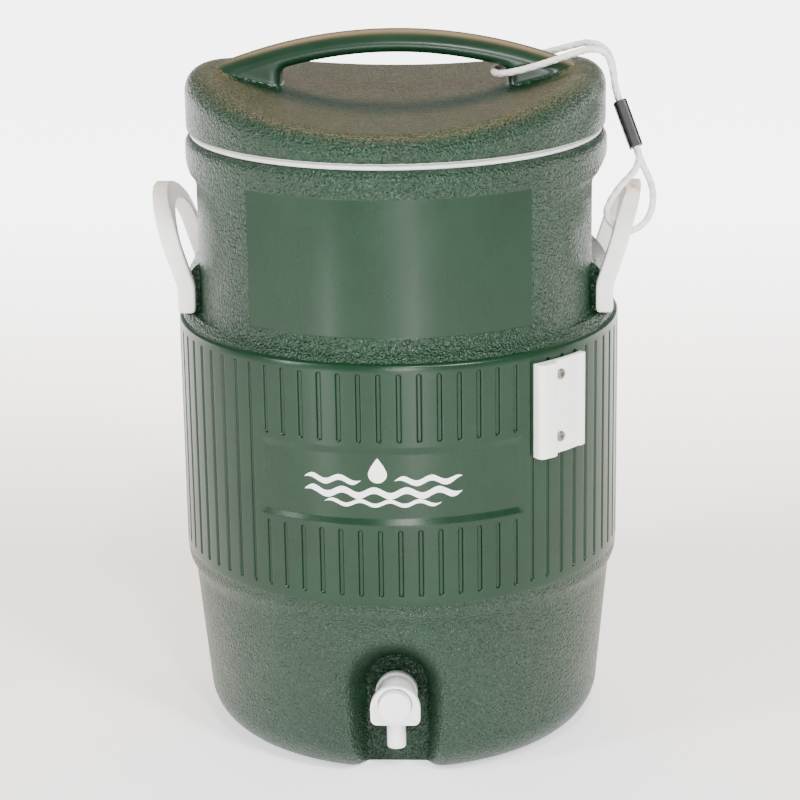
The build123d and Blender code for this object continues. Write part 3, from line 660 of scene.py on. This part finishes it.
def body_shell():
    heights = row_heights()
    turns = column_turns()
    columns = len(turns)
    radii = wall_radius(np.array(turns)[None, :], np.array(heights)[:, None])
    points = []
    for radius, height in ((86.0, 4.0), (88.0, 3.4), (90.0, 0.6), (91.0, 0.0)):
        points += [place(radius, math.radians(turn), height) for turn in turns]
    foot_rows = 4
    for row, height in enumerate(heights):
        points += [place(radii[row, column], math.radians(turn), height) for column, turn in enumerate(turns)]
    for radius, height in ((134.0, BEAD_TOP), (NECK_RADIUS, BEAD_TOP), (NECK_RADIUS, BEAD_TOP - 5)):
        points += [place(radius, math.radians(turn), height) for turn in turns]
    rows = foot_rows + len(heights) + 3
    patch_rows = heights.index(NICHE_PATCH_TOP)
    left = min(range(columns), key=lambda c: abs(turns[c] + NICHE_TURN))
    right = min(range(columns), key=lambda c: abs(turns[c] - NICHE_TURN))
    faces = []
    for row in range(rows - 1):
        in_patch = foot_rows - 1 <= row < foot_rows + patch_rows
        for column in range(columns):
            if in_patch and left <= column < right:
                continue
            following = (column + 1) % columns
            start = row * columns
            above = start + columns
            faces.append((start + column, start + following, above + following, above + column))
    faces.append(tuple(range(columns - 1, -1, -1)))
    edge_lengths = [float(np.interp(height, profile[:, 1], lengths)) for height in heights[:patch_rows]]
    edge = [(turns[left], length) for length in edge_lengths]
    top_length = float(np.interp(NICHE_PATCH_TOP, profile[:, 1], lengths))
    across = [(turns[column], top_length) for column in range(left, right + 1)]
    down = [(turns[right], length) for _, length in reversed(edge)]
    rings = niche_patch(edge + across + down)
    base = len(points)
    size = len(rings[0])
    for ring in rings:
        points += [point * MM for point in ring]
    for ring in range(len(rings) - 1):
        for index in range(size - 1):
            start = base + ring * size + index
            faces.append((start, start + 1, start + size + 1, start + size))
    last = base + (len(rings) - 1) * size
    faces.append(tuple(range(last, last + size)))
    left_foot = [base + ring * size for ring in range(len(rings))]
    right_foot = [base + ring * size + size - 1 for ring in reversed(range(len(rings)))]
    arc = [(foot_rows - 1) * columns + column for column in range(right, left - 1, -1)]
    faces.append(tuple(left_foot + right_foot + arc))
    piece = add_mesh("outer_shell", points, faces, ["grained", "smooth"])
    shell = bmesh.new()
    shell.from_mesh(piece.data)
    bmesh.ops.remove_doubles(shell, verts=shell.verts, dist=0.00001)
    bmesh.ops.delete(shell, geom=[v for v in shell.verts if not v.link_faces], context="VERTS")
    bmesh.ops.recalc_face_normals(shell, faces=shell.faces)
    for face in shell.faces:
        centre = face.calc_center_median() / MM
        turn = abs(math.degrees(math.atan2(centre.x, -centre.y)))
        on_label = turn < LABEL_TURN and LABEL_BOTTOM < centre.z < LABEL_TOP
        on_band = BAND_BOTTOM - 0.2 < centre.z < BAND_TOP + 0.1 and centre.xy.length > 140
        face.material_index = 1 if on_label or on_band else 0
    shell.to_mesh(piece.data)
    shell.free()
    return finished(piece, "jug", ["outer_shell"], sharp=60)


body_shell()


# ---- emblem on the nameplate --------------------------------------------------------
def printed_strip(samples):
    """Points and faces of a print that lies on the nameplate, from (across, low, high) samples."""
    radius = BAND_RADIUS - PLATE_DEPTH + 0.06
    points = []
    for across, low, high in samples:
        for height in (low, high):
            points.append(place(radius, across / radius, height))
    faces = [(2 * i, 2 * i + 2, 2 * i + 3, 2 * i + 1) for i in range(len(samples) - 1)]
    return points, faces


def wave_samples(start, end, middle, crest, half, length):
    """Ribbon of a wave, tapering to a point at both ends."""
    samples = []
    for across in np.linspace(start, end, int((end - start) / 0.8)):
        taper = min(1, (across - start) / 9, (end - across) / 9)
        height = middle + crest * math.sin(2 * math.pi * (across - start) / length)
        width = half * math.sin(math.pi / 2 * max(taper, 0)) + 0.02
        samples.append((across, height - width, height + width))
    return samples


def drop_samples(centre, bottom, half):
    """Water drop: round below, drawn out to a point above."""
    samples = []
    middle = bottom + half
    for across in np.linspace(-half, half, 31):
        share = abs(across) / half
        low = middle - math.sqrt(max(0, half**2 - across**2))
        high = middle + half * 1.75 * (1 - share) ** 0.72 + 0.02
        samples.append((centre + across, low, high))
    return samples


def emblem():
    """Plain water sign: a drop over rows of waves."""
    points, faces = [], []
    parts = [
        drop_samples(-8, 218.5, 6.2),
        wave_samples(-58, -19, 220, 1.7, 1.9, 19.5),
        wave_samples(3, 48, 220, 1.7, 1.9, 19.5),
        wave_samples(-58, 48, 211.5, 1.9, 2.2, 21.2),
        wave_samples(-44, 34, 204.5, 1.5, 1.3, 19.5),
    ]
    for samples in parts:
        new_points, new_faces = printed_strip(samples)
        faces += [tuple(len(points) + index for index in face) for face in new_faces]
        points += new_points
    piece = add_mesh("water_sign", points, faces, "print")
    return finished(piece, "jug")


emblem()


# ---- lid, bails, spigot and bracket -------------------------------------------------
def smooth_handle(lid):
    """The handle's own finish above the lid's saddle."""
    handle_half, saddle_low, saddle_rise, lid_radius = 16.5, 446.5, 29, 143
    lid.data.materials.append(finishes["handle"])
    for face in lid.data.polygons:
        x, y, z = face.center / MM
        saddle = saddle_low + saddle_rise * (x / lid_radius) ** 2
        face.material_index = 1 if abs(y) < handle_half and z > saddle else 0


smooth_handle(softened("lid_shell", "lid_shell", 1.4, 6, "grained", "lid"))
softened("right_bail", "right_bail", 0.9, 5, "bail_white", "right_handle")
softened("left_bail", "left_bail", 0.9, 5, "bail_white", "left_handle")
softened("spigot_body", "spigot_body", 0.55, 4, "spigot", "jug")
softened("spigot_button", "spigot_button", 0.45, 4, "spigot", "button")
softened("cup_bracket", "cup_bracket", 0.6, 4, "white", "jug")


def spring():
    """Coil spring behind the button."""
    wire, coil, turns = 0.45, 6.0, 4
    start, end = -127.0, -135.4
    count = turns * 36
    ring = 12
    points, faces = [], []
    for index in range(count + 1):
        angle = 2 * math.pi * turns * index / count
        out = Vector((math.cos(angle), 0, math.sin(angle)))
        centre = Vector((0, start + (end - start) * index / count, 53.4)) + out * coil
        for step in range(ring):
            around = 2 * math.pi * step / ring
            point = centre + out * wire * math.cos(around)
            point += Vector((0, wire * math.sin(around), 0))
            points.append(point * MM)
    for index in range(count):
        for step in range(ring):
            following = (step + 1) % ring
            a = index * ring
            faces.append((a + step, a + following, a + ring + following, a + ring + step))
    faces.append(tuple(reversed(range(ring))))
    faces.append(tuple(range(count * ring, (count + 1) * ring)))
    piece = add_mesh("spigot_spring", points, faces, "steel")
    finished(piece, "jug", ["spigot_spring"], sharp=180)
    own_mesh(piece)


spring()

carried = {
    "inner_liner": "liner", "lid_liner": "liner", "foam_insulation": "foam", "lid_foam": "foam",
    "right_pivot_pins": "steel", "left_pivot_pins": "steel", "bracket_screws": "steel",
    "spigot_stem": "white", "spigot_nut": "white", "spigot_valve_seal": "rubber",
    "spigot_outer_gasket": "rubber", "spigot_inner_gasket": "rubber",
}
for node, kind in carried.items():
    for material_slot in nodes[node].material_slots:
        material_slot.material = finishes[kind]


# ---- studio -------------------------------------------------------------------------
def studio():
    half = 25
    corners = [(-half, -half, 0), (half, -half, 0), (half, half, 0), (-half, half, 0)]
    mesh = bpy.data.meshes.new("floor")
    mesh.from_pydata(corners, [], [(0, 1, 2, 3)])
    floor = bpy.data.objects.new("floor", mesh)
    bpy.context.scene.collection.objects.link(floor)
    paper = bpy.data.materials.new("floor")
    paper.use_nodes = True
    links = paper.node_tree.links
    shader = paper.node_tree.nodes["Principled BSDF"]
    shader.inputs["Base Color"].default_value = (0.96, 0.96, 0.96, 1)
    shader.inputs["Roughness"].default_value = 0.9
    shader.inputs["Emission Color"].default_value = (1, 1, 1, 1)
    coords = paper.node_tree.nodes.new("ShaderNodeTexCoord")
    split = paper.node_tree.nodes.new("ShaderNodeSeparateXYZ")
    glow = paper.node_tree.nodes.new("ShaderNodeMapRange")
    glow.inputs["From Min"].default_value = 0.3
    glow.inputs["From Max"].default_value = 1.6
    glow.inputs["To Min"].default_value = 0.8
    glow.inputs["To Max"].default_value = 5.0
    links.new(coords.outputs["Object"], split.inputs["Vector"])
    links.new(split.outputs["Y"], glow.inputs["Value"])
    links.new(glow.outputs["Result"], shader.inputs["Emission Strength"])
    mesh.materials.append(paper)
    world = bpy.data.worlds.new("studio")
    bpy.context.scene.world = world
    world.use_nodes = True
    world.node_tree.nodes["Background"].inputs["Color"].default_value = (1, 1, 1, 1)
    world.node_tree.nodes["Background"].inputs["Strength"].default_value = 0.5
    lamps = [
        ("key_right", (1.1, -1.5, 1.5), (0.35, 0.9), 52, (1, 1, 1)),
        ("fill_left", (-1.5, -1.1, 1.0), (0.25, 1.2), 34, (1, 1, 1)),
        ("sparkle", (0.3, -1.6, 2.1), (0.15, 0.15), 26, (1, 1, 1)),
        ("front", (0.15, -1.7, 0.45), (0.3, 0.3), 10, (1, 1, 1)),
        ("band_right", (0.13, -0.73, 0.12), (0.09, 0.2), 0.35, (1, 1, 1)),
        ("band_left", (-0.394, -0.62, 0.12), (0.09, 0.2), 0.35, (1, 1, 1)),
        ("top", (0.0, 0.9, 1.5), (1.4, 0.8), 22, (1, 0.62, 0.36)),
    ]
    for name, where, size, power, colour in lamps:
        data = bpy.data.lights.new(name, "AREA")
        data.shape = "RECTANGLE"
        data.size, data.size_y = size
        data.energy = power
        data.color = colour
        lamp = bpy.data.objects.new(name, data)
        lamp.location = where
        lamp.rotation_euler = (Vector((0, 0, 0.25)) - Vector(where)).to_track_quat("-Z", "Y").to_euler()
        bpy.context.scene.collection.objects.link(lamp)


studio()
